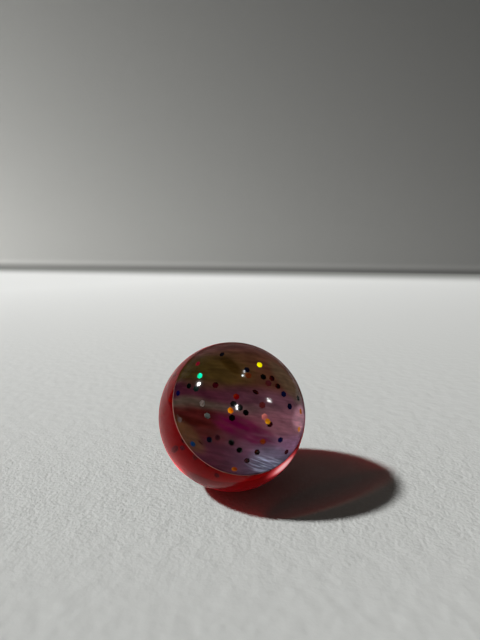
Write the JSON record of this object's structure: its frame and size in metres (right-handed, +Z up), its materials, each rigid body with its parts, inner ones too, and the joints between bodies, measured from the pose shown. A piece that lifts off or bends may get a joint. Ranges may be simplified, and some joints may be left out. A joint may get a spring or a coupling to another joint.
{
  "type": "bouncy ball",
  "caption": "Solid high-bounce ball: translucent red rubber with a clear dome over a thin marbled disc, and glitter flakes cast into the rubber.",
  "frame": {"origin": "the ball's middle", "axes": "+Z up, as the ball lies in the picture; -Y towards the viewer; the flat face between the two rubbers leans 52 degrees from level to the front and 20.5 degrees to the right"},
  "size_m": [0.045, 0.0446, 0.0446],
  "materials": {
    "red_rubber": "glossy translucent deep red cast rubber",
    "clear_rubber": "glossy clear cast rubber",
    "marbled_film": "pearly marbled film, brown and olive at the top, purple and pale blue below",
    "glitter_navy": "holographic foil flake",
    "glitter_black": "holographic foil flake",
    "glitter_green": "holographic foil flake",
    "glitter_emerald": "holographic foil flake",
    "glitter_red": "holographic foil flake",
    "glitter_maroon": "holographic foil flake",
    "glitter_orange": "holographic foil flake",
    "glitter_gold": "holographic foil flake",
    "glitter_silver": "holographic foil flake",
    "glitter_blue": "holographic foil flake"
  },
  "bodies": {
    "root": {"red_body": "red_rubber", "marbled_disc": "marbled_film", "clear_cap": "clear_rubber", "cap_navy": "glitter_navy", "cap_black": "glitter_black", "cap_green": "glitter_green", "cap_emerald": "glitter_emerald", "cap_red": "glitter_red", "cap_maroon": "glitter_maroon", "cap_orange": "glitter_orange", "cap_gold": "glitter_gold", "cap_silver": "glitter_silver", "cap_blue": "glitter_blue", "body_navy": "glitter_navy", "body_dark": "glitter_black", "body_gold": "glitter_gold"}
  },
  "joints": []
}
